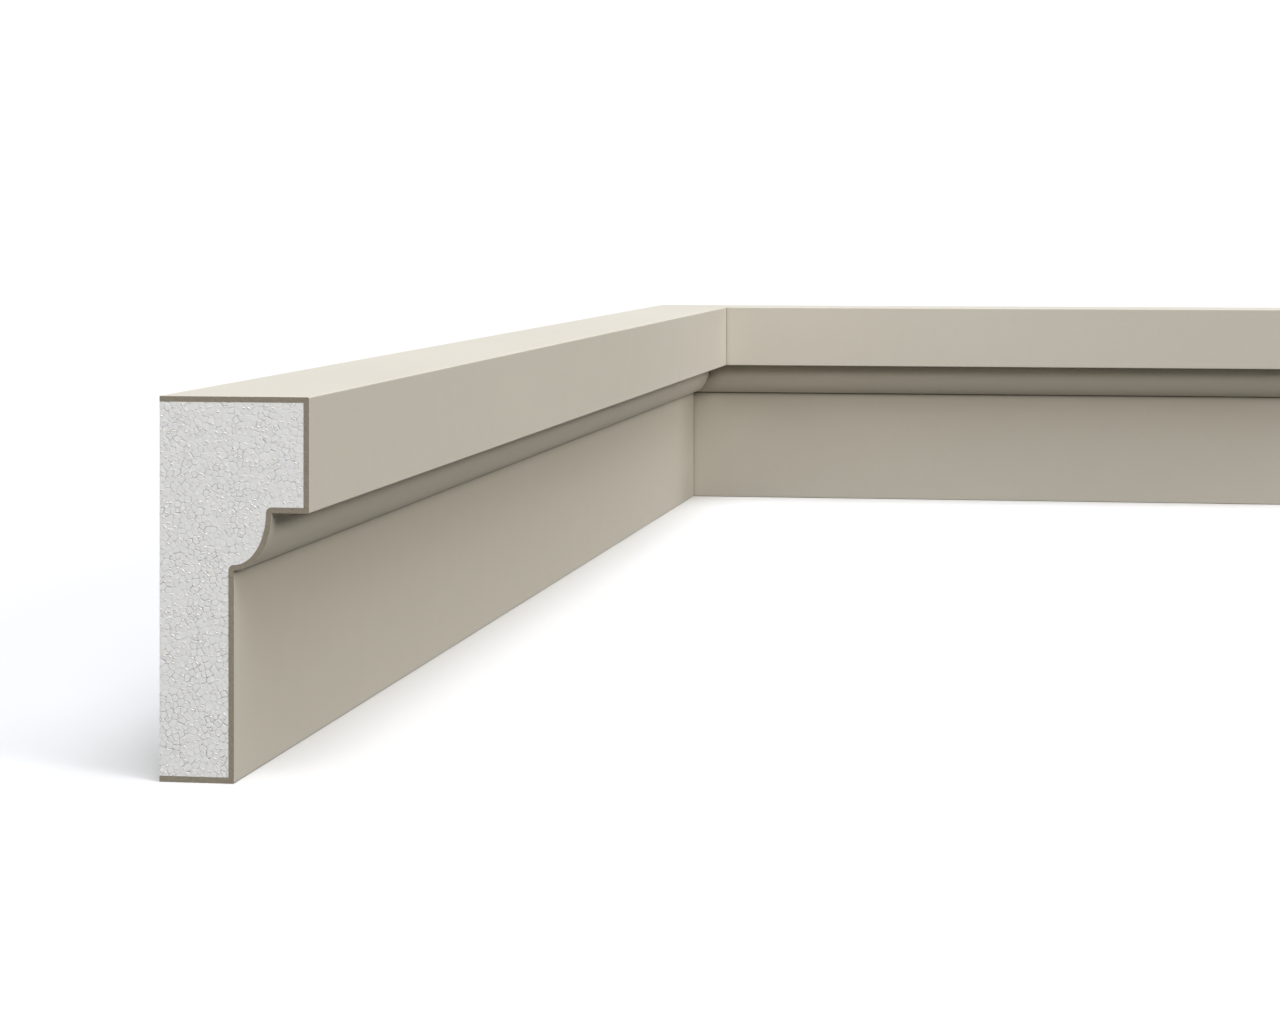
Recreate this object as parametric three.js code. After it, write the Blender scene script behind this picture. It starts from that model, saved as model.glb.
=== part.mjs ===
// Facade moulding of expanded polystyrene with a mortar coating, turned round an inside corner.
// Two lengths of one profile meet in a mitre. Millimetres, +Z up.
// The long run lies along Y with its back to -X, and the short run lies along X with its back to
// +Y. Both stand on their underside at Z = 0.
import * as THREE from "three";

// ---- driving dimensions -------------------------------------------------------------------
const HEIGHT = 200; // underside to top
const FASCIA_DEPTH = 80; // back to the face of the upper band
const FASCIA_HEIGHT = 60; // height of the upper band
const FRIEZE_DEPTH = 40; // back to the face of the lower band
const OVOLO_DEPTH = 20; // how far the rounded bed mould stands out from the lower band
const OVOLO_DROP = 30; // its height, from the soffit down
const COAT = 3; // thickness of the mortar coating on every face but the back

const LONG_RUN = 1710; // corner of the backs to the square-cut end, along Y
const SHORT_RUN = 700; // corner of the backs to the square-cut end, along X
const MITRE_SETBACK = 0.2; // each mitred end stands this far back along its run: the glue line

const OVOLO_STEPS = 32; // facets on the quarter ellipse
const CORNER_STEPS = 6; // facets where the foam rounds an inner corner of the coating

// ---- the profile --------------------------------------------------------------------------
// A profile point is (distance out from the back, height above the underside).
const at = (out, down) => new THREE.Vector2(out, HEIGHT - down);

// The bed mould is a quarter ellipse that starts straight down from the soffit and ends level,
// where the lower band begins. inset moves the curve into the solid, square to its surface.
function ovolo(inset) {
  const points = [];
  for (let i = 0; i <= OVOLO_STEPS; i++) {
    const t = ((Math.PI / 2) * i) / OVOLO_STEPS;
    const normal = new THREE.Vector2(
      Math.cos(t) / OVOLO_DEPTH,
      Math.sin(t) / OVOLO_DROP,
    ).normalize();
    points.push(
      at(
        FRIEZE_DEPTH + OVOLO_DEPTH * Math.cos(t) - inset * normal.x,
        FASCIA_HEIGHT + OVOLO_DROP * Math.sin(t) - inset * normal.y,
      ),
    );
  }
  return points;
}

// An arc of the coating's thickness about an inner corner, from straight above it to the side of the back.
function cornerArc(out, down) {
  const points = [];
  for (let i = 0; i < CORNER_STEPS; i++) {
    const t = ((Math.PI / 2) * i) / CORNER_STEPS;
    points.push(at(out - COAT * Math.sin(t), down - COAT * Math.cos(t)));
  }
  return points;
}

// The finished face, from the back along the top, down the front and in along the underside.
const face = [
  at(0, 0),
  at(FASCIA_DEPTH, 0),
  at(FASCIA_DEPTH, FASCIA_HEIGHT),
  ...ovolo(0),
  at(FRIEZE_DEPTH, HEIGHT),
  at(0, HEIGHT),
];

// The foam's face: the same line, one coating thickness further in.
const foamFace = [
  at(0, COAT),
  at(FASCIA_DEPTH - COAT, COAT),
  at(FASCIA_DEPTH - COAT, FASCIA_HEIGHT - COAT),
  ...cornerArc(FRIEZE_DEPTH + OVOLO_DEPTH, FASCIA_HEIGHT),
  ...ovolo(COAT),
  ...cornerArc(FRIEZE_DEPTH, FASCIA_HEIGHT + OVOLO_DROP).slice(1),
  at(FRIEZE_DEPTH - COAT, FASCIA_HEIGHT + OVOLO_DROP),
  at(FRIEZE_DEPTH - COAT, HEIGHT - COAT),
  at(0, HEIGHT - COAT),
];

const foamShape = new THREE.Shape(foamFace);
const coatingShape = new THREE.Shape([...face, ...[...foamFace].reverse()]);

// ---- one mitred length --------------------------------------------------------------------
// Extruded along local z from 0 to length, with one end cut square and the other to a 45 degree
// mitre: the further a point stands from the back, the further in its run the mitre cuts it.
function mitredLength(shape, length, mitreAtStart) {
  const geometry = new THREE.ExtrudeGeometry(shape, {
    depth: length,
    steps: 1,
    bevelEnabled: false,
  });
  const position = geometry.attributes.position;
  for (let i = 0; i < position.count; i++) {
    const atStart = position.getZ(i) < length / 2;
    const cut = position.getX(i) + MITRE_SETBACK;
    if (atStart === mitreAtStart) position.setZ(i, atStart ? cut : length - cut);
  }
  geometry.computeVertexNormals();
  return geometry;
}

// The profile stands upright, with its run along the group's -Y and its back on the group's x = 0.
function piece(name, shape, length, mitreAtStart, finish) {
  const mesh = new THREE.Mesh(
    mitredLength(shape, length, mitreAtStart),
    new THREE.MeshStandardMaterial({ ...finish, metalness: 0 }),
  );
  mesh.name = name;
  mesh.rotation.x = Math.PI / 2;
  return mesh;
}

const FOAM = { color: 0xe8e8e5, roughness: 0.8 };
const MORTAR = { color: 0xcdc5b3, roughness: 0.85 };

// ---- the two runs -------------------------------------------------------------------------
const moulding = new THREE.Group();

const longRun = new THREE.Group();
longRun.position.set(-SHORT_RUN / 2, LONG_RUN / 2, 0); // the corner of the backs
longRun.add(
  piece("left_foam_core", foamShape, LONG_RUN, true, FOAM),
  piece("left_coating", coatingShape, LONG_RUN, true, MORTAR),
);

const shortRun = new THREE.Group();
shortRun.position.set(SHORT_RUN / 2, LONG_RUN / 2, 0); // its square-cut end
shortRun.rotation.z = -Math.PI / 2;
shortRun.add(
  piece("right_foam_core", foamShape, SHORT_RUN, false, FOAM),
  piece("right_coating", coatingShape, SHORT_RUN, false, MORTAR),
);

moulding.add(longRun, shortRun);

export default moulding;
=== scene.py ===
import math

import bmesh
import bpy
import numpy as np
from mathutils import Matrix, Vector, noise
from mathutils.geometry import delaunay_2d_cdt


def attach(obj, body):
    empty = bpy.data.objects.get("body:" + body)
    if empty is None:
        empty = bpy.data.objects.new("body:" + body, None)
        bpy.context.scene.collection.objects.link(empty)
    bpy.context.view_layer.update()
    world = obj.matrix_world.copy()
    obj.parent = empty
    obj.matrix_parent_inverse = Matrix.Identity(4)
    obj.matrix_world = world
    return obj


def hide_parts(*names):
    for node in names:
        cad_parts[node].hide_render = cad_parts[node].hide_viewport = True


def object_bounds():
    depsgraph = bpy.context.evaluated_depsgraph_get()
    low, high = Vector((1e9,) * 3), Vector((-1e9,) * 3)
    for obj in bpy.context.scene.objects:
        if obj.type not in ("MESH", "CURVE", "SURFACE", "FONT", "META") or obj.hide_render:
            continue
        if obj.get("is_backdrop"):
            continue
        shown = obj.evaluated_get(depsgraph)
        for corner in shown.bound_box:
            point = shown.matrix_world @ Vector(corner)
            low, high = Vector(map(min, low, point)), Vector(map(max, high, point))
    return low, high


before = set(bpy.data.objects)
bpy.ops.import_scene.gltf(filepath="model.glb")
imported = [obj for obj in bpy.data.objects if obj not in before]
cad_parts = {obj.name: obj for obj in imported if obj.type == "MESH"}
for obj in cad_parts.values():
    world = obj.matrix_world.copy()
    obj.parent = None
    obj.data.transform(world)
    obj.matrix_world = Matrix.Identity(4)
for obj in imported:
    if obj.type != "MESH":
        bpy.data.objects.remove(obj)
cad_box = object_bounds()

# ---- the moulding's sizes, in millimetres --------------------------------------------------
HEIGHT = 200.0
FASCIA_DEPTH, FASCIA_HEIGHT = 80.0, 60.0
FRIEZE_DEPTH = 40.0
OVOLO_DEPTH, OVOLO_DROP = 20.0, 30.0
COAT = 3.0
LONG_RUN, SHORT_RUN, SETBACK = 1710.0, 700.0, 0.2

ARRIS = 0.6  # radius of an outer corner of the coating
FILLET = 0.5  # radius of an inner corner of the coating
STEP = 0.5  # spacing of points round a cut face
BEAD = 2.55  # a foam bead's usual width
Q = math.pi / 2


# ---- the profile, as points (out from the back, down from the top) --------------------------
def spaced(a, b, step=STEP):
    """Points from a to b, b left out."""
    a, b = np.array(a, float), np.array(b, float)
    n = max(1, int(round(np.linalg.norm(b - a) / step)))
    return [a + (b - a) * i / n for i in range(n)]


def arc(centre, radius, start, end, steps):
    """Points on an arc, its last one left out. Angles are from straight out, turning down."""
    angles = [start + (end - start) * i / steps for i in range(steps)]
    return [np.array([centre[0] + radius * math.cos(t), centre[1] + radius * math.sin(t)]) for t in angles]


def ovolo(inset, first, last, step=STEP):
    """Points on the quarter ellipse between two angles, moved inset into the solid."""
    n = int(round(36.0 * (last - first) / Q / step))
    pts = []
    for i in range(n):
        t = first + (last - first) * i / n
        nx, ny = math.cos(t) / OVOLO_DEPTH, math.sin(t) / OVOLO_DROP
        k = inset / math.hypot(nx, ny)
        pts.append(
            np.array(
                [
                    FRIEZE_DEPTH + OVOLO_DEPTH * math.cos(t) - k * nx,
                    FASCIA_HEIGHT + OVOLO_DROP * math.sin(t) - k * ny,
                ]
            )
        )
    return pts


def finished_line():
    """The coating's outer line, from the back along the top, down the front, to the back again."""
    r, f = ARRIS, FILLET
    d, h = FASCIA_DEPTH, FASCIA_HEIGHT
    neck = FRIEZE_DEPTH + OVOLO_DEPTH
    foot = FASCIA_HEIGHT + OVOLO_DROP
    pts = spaced((0, 0), (d - r, 0))
    pts += arc((d - r, r), r, -Q, 0, 6)
    pts += spaced((d, r), (d, h - r))
    pts += arc((d - r, h - r), r, 0, Q, 6)
    pts += spaced((d - r, h), (neck + f, h))
    pts += arc((neck + f, h + f), f, -Q, -2 * Q, 4)
    pts += ovolo(0.0, math.asin(f / OVOLO_DROP), math.acos(f / OVOLO_DEPTH))
    pts += arc((FRIEZE_DEPTH + f, foot + f), f, -Q, -2 * Q, 4)
    pts += spaced((FRIEZE_DEPTH, foot + f), (FRIEZE_DEPTH, HEIGHT - r))
    pts += arc((FRIEZE_DEPTH - r, HEIGHT - r), r, 0, Q, 6)
    pts += spaced((FRIEZE_DEPTH - r, HEIGHT), (0, HEIGHT))
    return np.array(pts + [np.array([0.0, HEIGHT])])


def foam_line():
    """The foam's line under the coating, in the same direction."""
    c, d, h = COAT, FASCIA_DEPTH, FASCIA_HEIGHT
    neck = FRIEZE_DEPTH + OVOLO_DEPTH
    foot = FASCIA_HEIGHT + OVOLO_DROP
    pts = spaced((0, c), (d - c, c))
    pts += spaced((d - c, c), (d - c, h - c))
    pts += spaced((d - c, h - c), (neck, h - c))
    pts += arc((neck, h), c, -Q, -2 * Q, 9)
    pts += ovolo(c, 0.0, Q)
    pts += arc((FRIEZE_DEPTH, foot), c, -Q, -2 * Q, 9)
    pts += spaced((FRIEZE_DEPTH - c, foot), (FRIEZE_DEPTH - c, HEIGHT - c))
    pts += spaced((FRIEZE_DEPTH - c, HEIGHT - c), (0, HEIGHT - c))
    return np.array(pts + [np.array([0.0, HEIGHT - c])])


# ---- plane meshes --------------------------------------------------------------------------
def corners_of(polygon):
    """The polygon without the points that lie on its straight stretches."""
    a, c = np.roll(polygon, 1, axis=0), np.roll(polygon, -1, axis=0)
    turn = (polygon[:, 0] - a[:, 0]) * (c[:, 1] - polygon[:, 1]) - (polygon[:, 1] - a[:, 1]) * (c[:, 0] - polygon[:, 0])
    return polygon[np.abs(turn) > 1e-7]


def inside(points, polygon):
    """True for each point inside the closed polygon."""
    x, y = points[:, 0], points[:, 1]
    found = np.zeros(len(points), bool)
    for (x0, y0), (x1, y1) in zip(polygon, np.roll(polygon, -1, axis=0)):
        if y0 != y1:
            found ^= ((y0 > y) != (y1 > y)) & (x < (x1 - x0) * (y - y0) / (y1 - y0) + x0)
    return found


def edge_distance(points, polygon):
    """Distance from each point to the closed polygon."""
    best = np.full(len(points), np.inf)
    for p0, p1 in zip(polygon, np.roll(polygon, -1, axis=0)):
        e = p1 - p0
        t = np.clip(((points - p0) @ e) / (e @ e), 0, 1)
        d = points - p0 - t[:, None] * e
        np.minimum(best, (d**2).sum(1), out=best)
    return np.sqrt(best)


def onto(point, polygon):
    """The closed polygon's point nearest to the given one."""
    best = None
    for p0, p1 in zip(polygon, np.roll(polygon, -1, axis=0)):
        e = p1 - p0
        foot = p0 + np.clip(((point - p0) @ e) / (e @ e), 0, 1) * e
        if best is None or np.linalg.norm(foot - point) < np.linalg.norm(best - point):
            best = foot
    return best


def without_slivers(verts, tris, is_sliver):
    """The triangles without those of no area, whose middle vertex goes to the triangle across their long side."""

    def long_side(k):
        a, b, c = tris[k]
        return max([(a, b, c), (b, c, a), (c, a, b)], key=lambda e: np.linalg.norm(verts[e[0]] - verts[e[1]]))

    sides = {k: long_side(k) for k in np.flatnonzero(is_sliver).tolist()}
    for k in sorted(sides, key=lambda k: -np.linalg.norm(verts[sides[k][0]] - verts[sides[k][1]])):
        u, v, middle = sides[k]
        tris[k] = -1
        for j in np.flatnonzero((tris == u).any(axis=1) & (tris == v).any(axis=1)):
            i = [n for n in range(3) if tris[j, n] not in (u, v)][0]
            far, a, b = np.roll(tris[j], -i)
            tris[j] = (a, middle, far)
            tris = np.vstack([tris, (middle, b, far)])
    return tris[tris[:, 0] >= 0]


def triangulated(outline, extra=(), lines=()):
    """A plane mesh of the outline's inside, through the extra points and along the lines, which are index pairs into extra. Returns its vertices, its triangles, all turned one way, and each vertex's own index in outline + extra."""
    n = len(outline)
    given = np.array(list(outline) + list(extra), float)
    edges = [(i, (i + 1) % n) for i in range(n)] + [(n + a, n + b) for a, b in lines]
    verts, _, faces, origin, _, _ = delaunay_2d_cdt([Vector(p) for p in given], edges, [], 0, 1e-5, True)
    source = np.array([min(o) if o else -1 for o in origin])
    verts = np.array([tuple(v) for v in verts])
    verts[source >= 0] = given[source[source >= 0]]
    tris = np.array([f for f in faces if len(f) == 3])
    tris = tris[inside(verts[tris].mean(axis=1), corners_of(np.array(outline)))]
    a, b, c = (verts[tris[:, i]] for i in range(3))
    area = (b[:, 0] - a[:, 0]) * (c[:, 1] - a[:, 1]) - (b[:, 1] - a[:, 1]) * (c[:, 0] - a[:, 0])
    tris[area < 0] = tris[area < 0][:, ::-1]
    tris = without_slivers(verts, tris, np.abs(area) < 1e-6)
    used = np.unique(tris)
    renumber = np.full(len(verts), -1)
    renumber[used] = np.arange(len(used))
    return verts[used], renumber[tris], source[used]


def rim(tris):
    """The mesh's one boundary loop, as vertex indices in order."""
    half = {(int(u), int(v)) for t in tris for u, v in ((t[0], t[1]), (t[1], t[2]), (t[2], t[0]))}
    after = {u: v for (u, v) in half if (v, u) not in half}
    start = min(after)
    loop, at = [start], after[start]
    while at != start:
        loop.append(at)
        at = after[at]
    if len(loop) != len(after):
        raise ValueError("a cut face has more than one boundary loop")
    return loop


def lumps(points, scale, seed):
    """Smooth noise from about -1 to 1 at each point, scale being the size of a lump."""
    return np.array([noise.noise(Vector((x / scale, y / scale, seed))) for x, y in points.tolist()])


class Nearest:
    """Finds the sites nearest to points, through a grid of cells."""

    def __init__(self, sites, cell=6.0):
        self.sites = np.vstack([sites, [1e6, 1e6]])
        self.low, self.cell = sites.min(axis=0) - 2 * cell, cell
        self.shape = np.ceil((sites.max(axis=0) + 2 * cell - self.low) / cell).astype(int) + 1
        grid = {}
        for i, (x, y) in enumerate(((sites - self.low) / cell).astype(int).tolist()):
            grid.setdefault((x, y), []).append(i)
        rows = {}
        for x in range(1, self.shape[0] - 1):
            for y in range(1, self.shape[1] - 1):
                rows[x, y] = [i for u in (-1, 0, 1) for v in (-1, 0, 1) for i in grid.get((x + u, y + v), [])]
        width = max(len(r) for r in rows.values())
        self.table = np.full((self.shape[0], self.shape[1], width), len(sites))
        for (x, y), r in rows.items():
            self.table[x, y, : len(r)] = r

    def find(self, points, count):
        cell = np.clip(((points - self.low) / self.cell).astype(int), 0, self.shape - 1)
        near = self.table[cell[:, 0], cell[:, 1]]
        d2 = ((points[:, None, :] - self.sites[near]) ** 2).sum(2)
        order = np.argsort(d2, axis=1)[:, :count]
        return np.take_along_axis(near, order, 1), np.sqrt(np.take_along_axis(d2, order, 1))


# ---- the foam's beads ----------------------------------------------------------------------
def bead_centres(rng, low, high, size):
    """Centres of beads of mixed sizes packed at random over a rectangle."""
    sizes = np.sort(np.clip(rng.normal(size, 0.32 * size, 15000), 0.5 * size, 1.75 * size))[::-1]
    pts, dia, n = np.empty((len(sizes), 2)), np.empty(len(sizes)), 0
    for s in sizes:
        for _ in range(4):
            p = rng.uniform(low, high)
            if n and (np.hypot(pts[:n, 0] - p[0], pts[:n, 1] - p[1]) < 0.455 * (dia[:n] + s)).any():
                continue
            pts[n], dia[n] = p, s
            n += 1
            break
    return pts[:n]


def bead_borders(centres):
    """The borders between neighbouring beads: corner points, and (corner, corner, bead, bead) rows."""
    _, _, tris, *_ = delaunay_2d_cdt([Vector(p) for p in centres], [], [], 0, 1e-7, False)
    tris = np.array(tris)
    a, b, c = (centres[tris[:, i]] for i in range(3))
    ab, ac = b - a, c - a
    d = 2 * (ab[:, 0] * ac[:, 1] - ab[:, 1] * ac[:, 0])
    ux = (ac[:, 1] * (ab**2).sum(1) - ab[:, 1] * (ac**2).sum(1)) / d
    uy = (ab[:, 0] * (ac**2).sum(1) - ac[:, 0] * (ab**2).sum(1)) / d
    of_edge, rows = {}, []
    for k, t in enumerate(tris.tolist()):
        for u, v in ((t[0], t[1]), (t[1], t[2]), (t[2], t[0])):
            key = (min(u, v), max(u, v))
            if key in of_edge:
                rows.append((of_edge[key], k, key[0], key[1]))
            else:
                of_edge[key] = k
    return a + np.stack([ux, uy], 1), rows


def border_gaps(points, centres, grid):
    """For each point: its bead, the bead across each near border, and the distance to that border, the nearest first."""
    index, dist = grid.find(points, 7)
    own = centres[index[:, 0]]
    apart = np.linalg.norm(grid.sites[index[:, 1:]] - own[:, None, :], axis=2)
    gaps = (dist[:, 1:] ** 2 - dist[:, :1] ** 2) / (2 * apart)
    order = np.argsort(gaps, axis=1)
    return index[:, 0], np.take_along_axis(index[:, 1:], order, 1), np.maximum(np.take_along_axis(gaps, order, 1), 0)


def bead_face(outline, seed):
    """The square-cut end of the foam: beads with rounded rims and uneven grooves between them. Returns vertices,
    triangles, height, how strongly each vertex is painted darker as shade in the grooves, how near to a raised rim, and
    its bead's random brightness, made darker towards the bottom as painted shade.
    """
    rng = np.random.default_rng(seed)
    shape = corners_of(outline)
    low, high = outline.min(axis=0) - 9, outline.max(axis=0) + 9
    centres = bead_centres(rng, low, high, BEAD)
    grid = Nearest(centres)
    corners, rows = bead_borders(centres)
    depth_at = {}
    for ka, kb, i, j in rows:
        faint = rng.random() < 0.25
        depth_at[i, j] = rng.uniform(0.01, 0.04) if faint else float(np.clip(rng.gamma(2.2, 0.050), 0.03, 0.45))
        # the level borders are deeper than the upright ones
        along = np.abs(corners[kb] - corners[ka])
        depth_at[i, j] *= 0.55 + 0.75 * along[0] / max(np.linalg.norm(along), 1e-6)
    top = rng.normal(0, 0.012, len(centres))
    lean = rng.normal(0, 0.009, (len(centres), 2))
    tone_and_shade = rng.normal(0, 1.0, len(centres))

    # a bead's rim may stand out in one place under its upper border and in one over its lower border
    rims = np.zeros((2, len(centres), 5))
    for ka, kb, i, j in rows:
        a, b = corners[ka], corners[kb]
        length = np.linalg.norm(b - a)
        if not 0.5 < length < 6 or abs((b - a)[0]) < 0.6 * length:
            continue
        upper, lower = (i, j) if centres[i, 1] < centres[j, 1] else (j, i)
        spot = a + (b - a) * rng.uniform(0.3, 0.7)
        if rng.random() < 0.42:
            rims[0, lower] = (*spot, rng.uniform(0.27, 0.54), *(b - a) / length)
        if rng.random() < 0.24:
            rims[1, upper] = (*spot, rng.uniform(0.12, 0.3), *(b - a) / length)

    # points along the borders, and beside them
    reach = inside(corners, shape) | (edge_distance(corners, shape) < 3.0)
    pts, lines, number, beside = [], [], {}, []

    def corner(k):
        if k not in number:
            number[k] = len(pts)
            pts.append(corners[k])
        return number[k]

    for ka, kb, i, j in rows:
        a, b = corners[ka], corners[kb]
        length = np.linalg.norm(b - a)
        if not (reach[ka] or reach[kb]) or length > 12 or length < 1e-3:
            continue
        n = max(1, int(round(length / 0.5)))
        last = corner(ka)
        across = np.array([-(b - a)[1], (b - a)[0]]) / length
        for k in range(1, n + 1):
            if k == n:
                this = corner(kb)
            else:
                this = len(pts)
                pts.append(a + (b - a) * k / n)
            lines.append((last, this))
            last = this
            mid = a + (b - a) * (k - 0.5) / n
            near = [s for s in (rims[0, i], rims[0, j]) if s[2] and np.linalg.norm(s[:2] - mid) < 0.8]
            for way in (1, -1):
                raised = near and any((way * across) @ (centres[k] - mid) > 0 for k in (i, j) if rims[0, k, 2])
                for off in (0.34, 0.54) if raised else (0.18, 0.38):
                    beside.append((*(mid + way * off * across), off))
    beside = np.array(beside)
    side = beside[:, :2]
    side = side[border_gaps(side, centres, grid)[2][:, 0] > 0.86 * beside[:, 2]]
    # points on the beads' crowns
    gx, gy = np.meshgrid(np.arange(low[0], high[0], 0.75), np.arange(low[1], high[1], 0.65))
    gx = gx + 0.375 * (np.arange(gx.shape[0]) % 2)[:, None]
    crown = np.stack([gx.ravel(), gy.ravel()], 1) + rng.uniform(-0.12, 0.12, (gx.size, 2))
    crown = crown[inside(crown, shape)]
    crown = crown[border_gaps(crown, centres, grid)[2][:, 0] > 0.6]
    free = np.concatenate([side, crown])
    free = free[inside(free, shape)]
    free = free[edge_distance(free, shape) > 0.16]
    verts, tris, source = triangulated(outline, pts + list(free), lines)
    for i in rim(tris):
        if source[i] < 0:
            verts[i] = onto(verts[i], shape)

    own, others, gaps = border_gaps(verts, centres, grid)
    pairs = np.sort(np.stack([own, others[:, 0]], 1), axis=1)
    depth = np.array([depth_at.get((a, b), 0.1) for a, b in pairs.tolist()])
    edge = edge_distance(verts, shape)
    # a border fades in and out along its length, and whole patches are smooth
    depth = depth * np.clip(0.7 + 1.6 * lumps(verts, 1.3, 7.7 + seed), 0.05, 2.2)
    smooth = np.clip(0.65 + 2.6 * lumps(verts, 6.0, 40.5 + seed), 0.0, 1.0)
    lower_down = np.clip(verts[:, 1] / HEIGHT, 0, 1)
    depth = depth * (0.35 + 0.65 * smooth) * (0.9 + 0.5 * lower_down)
    pit = np.exp(-((gaps[:, 1] / 0.3) ** 2))
    depth = depth + pit * (0.12 - 0.3 * depth) * (0.35 + 0.65 * smooth)

    def crown_height(bead):
        return top[bead] + (lean[bead] * (verts - centres[bead])).sum(1)

    mine, theirs = crown_height(own), crown_height(np.minimum(others[:, 0], len(centres) - 1))
    half = 0.16 + 0.22 * depth + 0.1 * pit
    rise = 1 - (1 - np.clip(gaps[:, 0] / half, 0, 1)) ** 1.8
    bottom = np.minimum(mine, theirs) - depth
    height = bottom + (mine - bottom) * rise
    height -= 0.004 * ((verts - centres[own]) ** 2).sum(1)
    for spots, ramp, reach in zip(rims, (0.34, 0.16), (0.48, 0.45)):
        from_spot = verts - spots[own, :2]
        ahead = (from_spot * spots[own, 3:]).sum(1)
        near = np.exp(-((from_spot**2).sum(1) - ahead**2) / reach**2 - (ahead / 0.85) ** 2)
        height += spots[own, 2] * near * np.clip(gaps[:, 0] / ramp, 0, 1)
        if ramp == 0.34:
            glint = np.clip(spots[own, 2] / 0.4, 0, 1) * near
    height = height * (0.35 + 0.65 * np.clip(edge / 0.6, 0, 1)) - 0.02
    # painted shade: the grooves between beads are painted darker, more so low down
    groove_shade = np.clip(0.40 + depth / 0.15, 0, 1.4) * np.exp(-((gaps[:, 0] / 0.19) ** 2)) * (0.45 + 0.55 * smooth) * (0.95 + 0.3 * lower_down)

    # the borders aren't straight: the whole face is pushed about in its plane
    push = 0.3 * np.clip(edge / 1.6, 0, 1)
    verts = verts + np.stack([push * lumps(verts, 2.7, 60.0 + seed), push * lumps(verts, 2.7, 80.0 + seed)], 1)
    # painted shade: each bead's random brightness is made darker towards the bottom, where less light falls
    return verts, tris, height, groove_shade, glint, tone_and_shade[own] - 9.0 * lower_down


# ---- one run of the moulding ---------------------------------------------------------------
class Run:
    """A length in its own terms: out from the back, down from the top, and along from the square-cut end. A turned run's plan is a mirror image of the other's."""

    def __init__(self, length, turned):
        self.length, self.turned = length, turned

    def mitre(self, out):
        return self.length - SETBACK - out

    def place(self, out, down, along):
        out, down, along = np.broadcast_arrays(out, down, along)
        if self.turned:
            x, y = SHORT_RUN / 2 - along, LONG_RUN / 2 - out
        else:
            x, y = out - SHORT_RUN / 2, along - LONG_RUN / 2
        return np.stack([x, y, HEIGHT - down], axis=-1) / 1000.0


def mesh_object(name, verts, faces, slots, values, smooth):
    """An object from world-space vertices, with its faces turned outward."""
    me = bpy.data.meshes.new(name)
    me.from_pydata([tuple(v) for v in verts], [], faces)
    for key, data in values.items():
        me.attributes.new(key, "FLOAT", "POINT").data.foreach_set("value", np.asarray(data, np.float32))
    me.polygons.foreach_set("material_index", np.asarray(slots, np.int32))
    ob = bpy.data.objects.new(name, me)
    bpy.context.scene.collection.objects.link(ob)
    bm = bmesh.new()
    bm.from_mesh(me)
    bmesh.ops.recalc_face_normals(bm, faces=bm.faces)
    if bm.calc_volume(signed=True) < 0:
        bmesh.ops.reverse_faces(bm, faces=bm.faces)
    loose = sum(1 for e in bm.edges if len(e.link_faces) != 2)
    bm.to_mesh(me)
    bm.free()
    me.shade_smooth()
    me.set_sharp_from_angle(angle=math.radians(smooth))
    me.update()
    print(f"{name}: {len(me.vertices)} vertices, {sum(len(p.vertices) - 2 for p in me.polygons)} triangles, {loose} open edges")
    return ob


def mitre_cap(flat, loop, far_of):
    """The cut face at the mitre, over the vertices that far_of gives for the loop."""
    cap, tris, source = triangulated(flat[loop])
    return [tuple(far_of[loop[int(source[i])]] for i in t) for t in tris]


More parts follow.
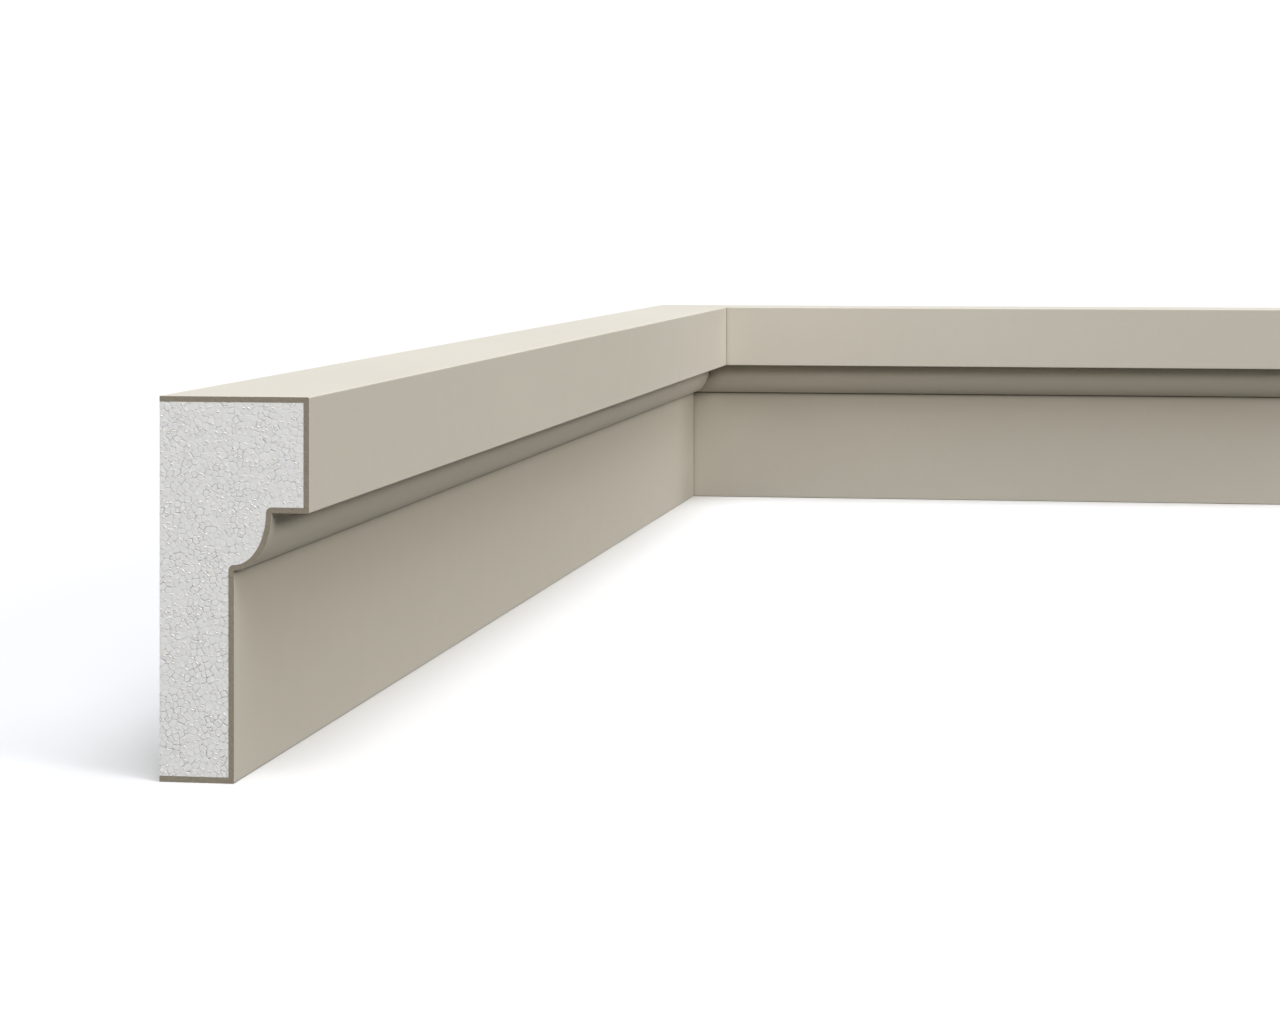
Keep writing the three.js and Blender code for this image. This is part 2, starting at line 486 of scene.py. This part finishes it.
def foam_core(name, run, seed):
    outline = foam_line()
    outline = np.concatenate([outline, np.array(spaced((0, HEIGHT - COAT), (0, COAT)))[1:]])
    flat, tris, height, groove_shade, glint, tone_and_shade = bead_face(outline, seed)
    loop = rim(tris)
    n = len(flat)
    verts = list(run.place(flat[:, 0], flat[:, 1], -height))
    faces = [tuple(t) for t in tris.tolist()]
    slots = [0] * len(faces)
    far_of = {}
    for i in loop:
        far_of[i] = len(verts)
        verts.append(run.place(flat[i, 0], flat[i, 1], run.mitre(flat[i, 0])))
    cap = mitre_cap(flat, loop, far_of)
    faces += cap
    slots += [1] * len(cap)

    # the back, a grid with the slow waves of a wire cut
    end = run.mitre(0.0)
    on_back = sorted((i for i in loop if flat[i, 0] < 1e-4), key=lambda i: flat[i, 1])
    stations = np.linspace(0, end, int(round(end / 6.0)) + 1)[1:-1]
    border = [(0.0, flat[i, 1], i) for i in on_back]
    border += [(s, HEIGHT - COAT, None) for s in stations]
    border += [(end, flat[i, 1], far_of[i]) for i in reversed(on_back)]
    border += [(s, COAT, None) for s in stations[::-1]]
    inner = [(s, d) for s in np.arange(3.0, end - 2, 6.0) for d in np.arange(COAT + 6, HEIGHT - COAT - 3, 6.0)]
    back, back_tris, source = triangulated(np.array([(s, d) for s, d, _ in border]), inner)
    wave = np.abs(0.11 * lumps(back / [90.0, 260.0], 1.0, seed) + 0.06 * lumps(back / [26.0, 300.0], 1.0, seed + 4.0))
    wave *= np.clip(np.minimum.reduce([back[:, 0], end - back[:, 0], back[:, 1] - COAT, HEIGHT - COAT - back[:, 1]]) / 8.0, 0, 1)
    ids, upper, lower = [], {}, {}
    for k, (s, d) in enumerate(back):
        known = border[source[k]][2] if source[k] < len(border) else None
        if known is None:
            known = len(verts)
            verts.append(run.place(wave[k], d, s))
            if source[k] < len(border):
                (upper if d < 100 else lower)[float(s)] = known
        ids.append(known)
    faces += [tuple(ids[i] for i in t) for t in back_tris.tolist()]
    slots += [1] * len(back_tris)

    # the sides under the coating
    rows = {True: [upper[s] for s in sorted(upper)], False: [lower[s] for s in sorted(lower)]}
    for k, i in enumerate(loop):
        j = loop[(k + 1) % len(loop)]
        first, second = flat[i, 0] < 1e-4, flat[j, 0] < 1e-4
        if first and second:
            continue
        row = rows[bool(flat[i, 1] < 100)]
        face = [i, j] + (row if second else []) + [far_of[j], far_of[i]] + (row[::-1] if first else [])
        faces.append(tuple(face))
        slots.append(1)
    rest = [0.0] * (len(verts) - n)
    values = {"groove_shade": list(groove_shade) + rest, "glint": list(glint) + rest, "tone_and_shade": list(tone_and_shade) + rest}
    return mesh_object(name, verts, faces, slots, values, 50.0)


def coating(name, run, seed):
    rng = np.random.default_rng(seed)
    outer, inner = finished_line(), foam_line()
    outline = np.concatenate([outer, inner[::-1]])
    shape = corners_of(outline)
    low, high = outline.min(axis=0), outline.max(axis=0)
    gx, gy = np.meshgrid(np.arange(low[0], high[0], 0.42), np.arange(low[1], high[1], 0.42))
    grains = np.stack([gx.ravel(), gy.ravel()], 1)
    grains = grains + rng.uniform(-0.13, 0.13, grains.shape)
    grains = grains[inside(grains, shape)]
    grains = grains[edge_distance(grains, shape) > 0.24]
    flat, tris, source = triangulated(outline, list(grains))
    loop = rim(tris)
    n, m = len(flat), len(loop)
    on_face = {i: bool(source[i] < len(outer)) for i in loop}
    # sand torn out or left standing by the saw
    height = 0.03 * rng.normal(0, 1, n) + 0.05 * lumps(flat, 1.3, 1.7 + seed)
    height = np.clip(height, -0.12, 0.08) - 0.03
    speck = rng.uniform(0, 1, n)
    normal = {}
    for k, i in enumerate(loop):
        t = flat[loop[(k + 1) % m]] - flat[loop[k - 1]]
        normal[i] = np.array([t[1], -t[0]]) / np.linalg.norm(t)

    verts = list(run.place(flat[:, 0], flat[:, 1], -height))
    faces = [tuple(t) for t in tris.tolist()]
    slots = [1] * len(faces)
    for i in loop:  # nicks along the sawn edge
        if on_face[i] and flat[i, 0] > 0.5:
            p = flat[i] - (0.04 + 0.03 * abs(rng.normal())) * normal[i]
            verts[i] = run.place(p[0], p[1], -height[i])
    # painted shade: the paint is darker in the inner corners of the profile, just under the ovolo and at the mitre,
    # where shade falls
    painted_shade = [0.0] * n
    in_corner = {}
    for i in loop:
        neck = math.hypot(flat[i, 0] - FRIEZE_DEPTH - OVOLO_DEPTH, flat[i, 1] - FASCIA_HEIGHT - 0.5)
        foot = math.hypot(flat[i, 0] - FRIEZE_DEPTH - 0.3, flat[i, 1] - FASCIA_HEIGHT - OVOLO_DROP - 0.3)
        under = max(flat[i, 1] - FASCIA_HEIGHT - OVOLO_DROP, 0.0)
        shades = (
            (0.20 if run.turned else 0.05) * math.exp(-((neck / 3.4) ** 2)),
            (0.74 if run.turned else 0.66) * math.exp(-((foot / 1.0) ** 2)),
            0.20 * math.exp(-((under / 4.4) ** 2)) if under > 0 and flat[i, 0] > FRIEZE_DEPTH - 1 else 0.0,
        )
        in_corner[i] = 1 - (1 - shades[0]) * (1 - shades[1]) * (1 - shades[2]) if on_face[i] else 0.0
        painted_shade[i] = in_corner[i]
    joint_shade, reach = (0.20, 1.5) if run.turned else (0.08, 0.6)
    # painted shade: near the mitre the paint is also darker low down, where shade falls in the lower corner
    low_shade, low_shade_from = (0.11, 120.0) if run.turned else (0.08, 160.0)  # and greyer low down beside it

    rings = [{i: i for i in loop}]
    close = [0.45, 1.1, 2.2]
    before = [5.0, 2.2, 1.0, 0.4, 0.0]
    spans = int(round(run.length / 34.0))
    for level in range(len(close) + spans + len(before) - 1):
        ring = {}
        for i in loop:
            out, down = flat[i]
            if level < len(close):
                along = close[level]
            elif level < len(close) + spans:
                share = (level - len(close) + 1) / spans
                along = close[-1] + (run.mitre(out) - before[0] - close[-1]) * share
            else:
                along = run.mitre(out) - before[level - len(close) - spans + 1]
            move = 0.0
            if on_face[i] and out > 0.5 and level > 0:
                # the hand-drawn coat swells and thins by hundredths of a millimetre
                move = -0.03 + 0.03 * noise.noise(Vector((along / 210.0, (down + out) / 60.0, seed + 0.5)))
            p = flat[i] + move * normal[i]
            ring[i] = len(verts)
            verts.append(run.place(p[0], p[1], along))
            # painted shade along the mitre's inner corner, fading away from the joint
            joint = joint_shade * math.exp(-(run.mitre(out) - along) / reach) if on_face[i] else 0.0
            # painted shade low down beside the joint
            near_joint = math.exp(-(((run.mitre(out) - along - 50.0) / 45.0) ** 2))
            low = low_shade * near_joint * min(max((down - low_shade_from) / (HEIGHT - low_shade_from), 0.0), 1.0) if on_face[i] else 0.0
            painted_shade.append(1 - (1 - in_corner[i]) * (1 - joint) * (1 - low))
        rings.append(ring)
    for ring, following in zip(rings, rings[1:]):
        for k, i in enumerate(loop):
            j = loop[(k + 1) % m]
            faces.append((ring[i], ring[j], following[j], following[i]))
            painted = on_face[i] and on_face[j]
            slots.append(0 if painted else 1)
    cap = mitre_cap(flat, loop, rings[-1])
    faces += cap
    slots += [1] * len(cap)
    values = {"speck": list(speck) + [0.5] * (len(verts) - n), "painted_shade": painted_shade}
    return mesh_object(name, verts, faces, slots, values, 40.0)


# ---- materials -----------------------------------------------------------------------------
class Nodes:
    """A material's node tree, made by short calls."""

    def __init__(self, name):
        self.material = bpy.data.materials.new(name)
        self.material.use_nodes = True
        self.tree = self.material.node_tree
        self.tree.nodes.clear()
        self.out = self.add("ShaderNodeOutputMaterial")
        self.shader = self.add("ShaderNodeBsdfPrincipled")
        self.link(self.shader.outputs["BSDF"], self.out.inputs["Surface"])

    def add(self, kind, **settings):
        node = self.tree.nodes.new(kind)
        for key, value in settings.items():
            setattr(node, key, value)
        return node

    def link(self, a, b):
        self.tree.links.new(a, b)

    def put(self, socket, value):
        if hasattr(value, "links"):
            self.link(value, socket)
        elif value is not None:
            socket.default_value = value

    def place(self, scale=(1, 1, 1)):
        coord = self.add("ShaderNodeTexCoord")
        mapping = self.add("ShaderNodeMapping")
        mapping.inputs["Scale"].default_value = scale
        self.link(coord.outputs["Object"], mapping.inputs["Vector"])
        return mapping.outputs["Vector"]

    def noise(self, vector, scale, detail=2.0, roughness=0.5):
        node = self.add("ShaderNodeTexNoise")
        self.put(node.inputs["Vector"], vector)
        node.inputs["Scale"].default_value = scale
        node.inputs["Detail"].default_value = detail
        node.inputs["Roughness"].default_value = roughness
        return node.outputs["Fac"]

    def voronoi(self, vector, scale, feature="F1", randomness=1.0):
        node = self.add("ShaderNodeTexVoronoi", feature=feature)
        self.put(node.inputs["Vector"], vector)
        node.inputs["Scale"].default_value = scale
        node.inputs["Randomness"].default_value = randomness
        return node

    def attribute(self, name):
        return self.add("ShaderNodeAttribute", attribute_name=name).outputs["Fac"]

    def spread(self, value, low, high, to_low=0.0, to_high=1.0, smooth=False):
        node = self.add("ShaderNodeMapRange")
        if smooth:
            node.interpolation_type = "SMOOTHSTEP"
        self.put(node.inputs["Value"], value)
        node.inputs["From Min"].default_value = low
        node.inputs["From Max"].default_value = high
        node.inputs["To Min"].default_value = to_low
        node.inputs["To Max"].default_value = to_high
        return node.outputs["Result"]

    def math(self, operation, a, b):
        node = self.add("ShaderNodeMath", operation=operation)
        self.put(node.inputs[0], a)
        self.put(node.inputs[1], b)
        return node.outputs["Value"]

    def product(self, *values):
        result = values[0]
        for value in values[1:]:
            result = self.math("MULTIPLY", result, value)
        return result

    def shaded(self, colour, light):
        """The colour times a grey level that varies over the surface."""
        node = self.add("ShaderNodeVectorMath", operation="SCALE")
        node.inputs[0].default_value = colour
        self.link(light, node.inputs["Scale"])
        return node.outputs["Vector"]

    def bump(self, height, distance, strength=1.0, normal=None):
        node = self.add("ShaderNodeBump")
        self.put(node.inputs["Height"], height)
        node.inputs["Distance"].default_value = distance
        node.inputs["Strength"].default_value = strength
        if normal is not None:
            self.link(normal, node.inputs["Normal"])
        return node.outputs["Normal"]

    def finish(self, colour, roughness, specular, normal):
        self.put(self.shader.inputs["Base Color"], colour)
        self.put(self.shader.inputs["Roughness"], roughness)
        self.put(self.shader.inputs["Specular IOR Level"], specular)
        self.put(self.shader.inputs["Normal"], normal)
        return self.material


FINISH = (0.640, 0.596, 0.503)
RAW = (0.318, 0.283, 0.218)
FOAM = (0.980, 0.977, 0.964)


def painted_mortar():
    """The finished face: very fine sand, faint clouding, faint trowel strokes, and painted shade in its inner corners
    and at the mitre.
    """
    m = Nodes("painted_mortar")
    here = m.place()
    grain = m.noise(here, 1500.0, 2.0, 0.6)
    fine = m.noise(here, 420.0, 3.0, 0.55)
    cloud = m.noise(here, 5.0, 3.0, 0.5)
    patch = m.noise(here, 38.0, 2.0, 0.5)
    light = m.product(
        m.spread(grain, 0.25, 0.75, 0.965, 1.035),
        m.spread(cloud, 0.3, 0.7, 0.992, 1.008),
        m.spread(patch, 0.3, 0.7, 0.994, 1.006),
        # painted shade in the inner corners, under the ovolo and at the mitre
        m.math("SUBTRACT", 1.0, m.attribute("painted_shade")),
    )
    rough = m.math("ADD", m.spread(fine, 0.3, 0.7, 0.76, 0.88), m.spread(cloud, 0.3, 0.7, -0.03, 0.03))
    normal = m.bump(fine, 0.00012, 0.35, m.bump(grain, 0.00006, 0.55))
    return m.finish(m.shaded(FINISH, light), rough, 0.28, normal)


def cut_mortar():
    """Mortar where it was sawn through: brown-grey, with paler and darker sand."""
    m = Nodes("cut_mortar")
    here = m.place()
    tint = m.add("ShaderNodeSeparateColor")
    m.link(m.voronoi(here, 1500.0).outputs["Color"], tint.inputs["Color"])
    paste = m.noise(here, 700.0, 3.0, 0.6)
    light = m.product(
        m.spread(tint.outputs["Red"], 0.0, 1.0, 0.92, 1.08),
        m.spread(paste, 0.25, 0.75, 0.95, 1.05),
        m.spread(m.attribute("speck"), 0.0, 1.0, 0.96, 1.04),
    )
    return m.finish(m.shaded(RAW, light), m.spread(paste, 0.3, 0.7, 0.86, 0.97), 0.2, m.bump(paste, 0.00015, 0.6))


def foam_beads():
    """The cut end of the foam: pale beads, with painted shade where they meet and towards the bottom, and a painted
    cream highlight with a glossier sheen where a rim stands out.
    """
    m = Nodes("foam_beads")
    here = m.place()
    fine = m.noise(here, 1300.0, 2.0, 0.6)
    light = m.product(
        # painted shade: darker towards the bottom, and in the grooves between beads
        m.spread(m.attribute("tone_and_shade"), -12.0, 2.0, 0.940, 1.010),
        m.spread(fine, 0.25, 0.75, 0.985, 1.015),
        m.spread(m.attribute("groove_shade"), 0.0, 1.6, 1.0, 0.50),
    )
    # painted highlight: raised rims are mixed towards cream; their lower roughness and stronger specular are a real
    # sheen
    glint = m.spread(m.attribute("glint"), 0.10, 0.50, smooth=True)
    mix = m.add("ShaderNodeMix", data_type="RGBA")
    m.link(glint, mix.inputs["Factor"])
    m.link(m.shaded(FOAM, light), mix.inputs["A"])
    mix.inputs["B"].default_value = (0.98, 0.925, 0.825, 1.0)
    rough = m.math("SUBTRACT", m.spread(fine, 0.3, 0.7, 0.46, 0.58), m.math("MULTIPLY", glint, 0.22))
    return m.finish(mix.outputs["Result"], rough, m.spread(glint, 0.0, 1.0, 0.35, 0.7), m.bump(fine, 0.00006, 0.5))


def foam_cut_face():
    """The wire-cut back of the foam: flat beads with faint borders."""
    m = Nodes("foam_cut_face")
    here = m.place()
    cells = m.voronoi(here, 262.0, "DISTANCE_TO_EDGE", 0.85)
    tint = m.add("ShaderNodeSeparateColor")
    m.link(m.voronoi(here, 262.0, "F1", 0.85).outputs["Color"], tint.inputs["Color"])
    near = m.spread(cells.outputs["Distance"], 0.0, 0.085, 1.0, 0.0, smooth=True)
    strength = m.spread(m.noise(here, 90.0, 2.0, 0.5), 0.35, 0.65, 0.03, 0.17)
    line = m.math("SUBTRACT", 1.0, m.math("MULTIPLY", near, strength))
    fine = m.noise(here, 1300.0, 2.0, 0.6)
    light = m.product(
        m.spread(tint.outputs["Red"], 0.0, 1.0, 0.965, 1.02),
        m.spread(fine, 0.25, 0.75, 0.985, 1.015),
        line,
    )
    height = m.math("SUBTRACT", m.math("MULTIPLY", tint.outputs["Blue"], 0.35), m.math("MULTIPLY", near, 0.8))
    return m.finish(m.shaded(FOAM, light), m.spread(tint.outputs["Green"], 0.0, 1.0, 0.5, 0.68), 0.3, m.bump(height, 0.00012, 0.8))


painted, cut, beads, foam = painted_mortar(), cut_mortar(), foam_beads(), foam_cut_face()

# ---- the pieces ----------------------------------------------------------------------------
for side, run, seed in (("left", Run(LONG_RUN, False), 11), ("right", Run(SHORT_RUN, True), 23)):
    core = foam_core(side + "_foam_with_beads", run, seed)
    coat = coating(side + "_mortar_coat", run, seed + 1)
    for piece, node, slot, materials in (
        (core, side + "_foam_core", "foam", (beads, foam)),
        (coat, side + "_coating", "coating", (painted, cut)),
    ):
        for material in materials:
            piece.data.materials.append(material)
        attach(piece, "root")
        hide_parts(node)

# ---- floor and light -----------------------------------------------------------------------
bpy.ops.mesh.primitive_plane_add(size=800.0, location=(0, 0, -0.0002))
floor = bpy.context.object
floor.name = "floor"
ground = Nodes("floor")
dust = ground.spread(ground.noise(ground.place(), 3.0, 2.0, 0.5), 0.3, 0.7, 0.996, 1.004)
floor.data.materials.append(ground.finish(ground.shaded((0.82, 0.81, 0.785), dust), 0.9, 0.1, None))
floor.visible_diffuse = False
floor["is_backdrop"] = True

world = bpy.data.worlds.new("studio")
bpy.context.scene.world = world
world.use_nodes = True
sky = world.node_tree.nodes["Background"]
sky.inputs["Color"].default_value = (1.0, 1.0, 1.0, 1.0)
sky.inputs["Strength"].default_value = 1.1
# the white surroundings are only seen: the soft lamps do all the lighting
world.cycles_visibility.diffuse = False
world.cycles_visibility.glossy = False


def sun(name, azimuth, elevation, angle, light):
    """A soft lamp far away. azimuth is where it stands, from +X towards +Y, in degrees."""
    lamp = bpy.data.lights.new(name, "SUN")
    lamp.energy, lamp.angle = max(light), math.radians(angle)
    lamp.color = [c / max(light) for c in light]
    ob = bpy.data.objects.new(name, lamp)
    bpy.context.scene.collection.objects.link(ob)
    a, e = math.radians(azimuth), math.radians(elevation)
    towards = Vector((math.cos(a) * math.cos(e), math.sin(a) * math.cos(e), math.sin(e)))
    ob.rotation_euler = towards.to_track_quat("Z", "Y").to_euler()


UPPER, LOWER, PLAIN = (0.969, 1.0, 1.078), (1.025, 1.0, 0.958), (1.0, 1.0, 1.0)
for azimuth, elevation, angle, strength, tint in (
    (0, 90, 45, 1.318, UPPER),
    (-60, 62, 40, 1.702, UPPER),
    (0, 62, 40, 0.572, UPPER),
    (0, 35, 36, 0.327, LOWER),
    (-30, 22, 16, 0.870, LOWER),
    (-70, 22, 16, 0.579, LOWER),
    (10, 22, 16, 0.264, LOWER),
    (-110, 22, 16, 0.178, LOWER),
    (-110, 6, 10, 0.149, LOWER),
    (0, -90, 90, 0.470, LOWER),
    (135, -8, 16, 2.200, PLAIN),
):
    sun(f"soft_lamp_{azimuth}_{elevation}", azimuth, elevation, angle, [strength * c for c in tint])
# the lamps from below stand for pale surroundings, so the floor doesn't shade them
floor.visible_shadow = False

for name, place, aim, size, power, tint in (
    ("room_lamp", (0.50, 0.10, 0.80), (-0.27, 0.775, 0.15), 0.6, 0.28, PLAIN),
    ("corner_lamp", (-0.05, 0.50, 0.40), (-0.27, 0.775, 0.16), 0.3, 0.095, (0.86, 0.94, 1.12)),
):
    lamp = bpy.data.lights.new(name, "AREA")
    lamp.shape, lamp.size, lamp.energy, lamp.color = "SQUARE", size, power, tint
    light = bpy.data.objects.new(name, lamp)
    bpy.context.scene.collection.objects.link(light)
    light.location = place
    light.rotation_euler = (light.location - Vector(aim)).to_track_quat("Z", "Y").to_euler()
    light.visible_camera = False

# ---- camera --------------------------------------------------------------------------------
camera_data = bpy.data.cameras.new("camera")
camera = bpy.data.objects.new("camera", camera_data)
bpy.context.scene.collection.objects.link(camera)
camera_data.sensor_width = 36.0
camera_data.lens = 3072.2 * 36.0 / 1280.0
camera_data.clip_start, camera_data.clip_end = 0.05, 1000.0
camera_data.shift_x = 0.0
camera_data.shift_y = -(512.0 - 219.05) / 1280.0
camera.location = (0.5003 - 0.350, -1.5335 - 0.855, 0.2917)
camera.rotation_euler = (math.radians(90), 0.0, math.radians(9.1793))
bpy.context.scene.camera = camera

bpy.context.scene.view_settings.view_transform = "Standard"
bpy.context.scene.view_settings.look = "None"


def plain(value):
    """Nested lists of numbers."""
    return [plain(v) for v in value] if hasattr(value, "__len__") else float(value)


{"cad": plain(cad_box), "visual": plain(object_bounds())}
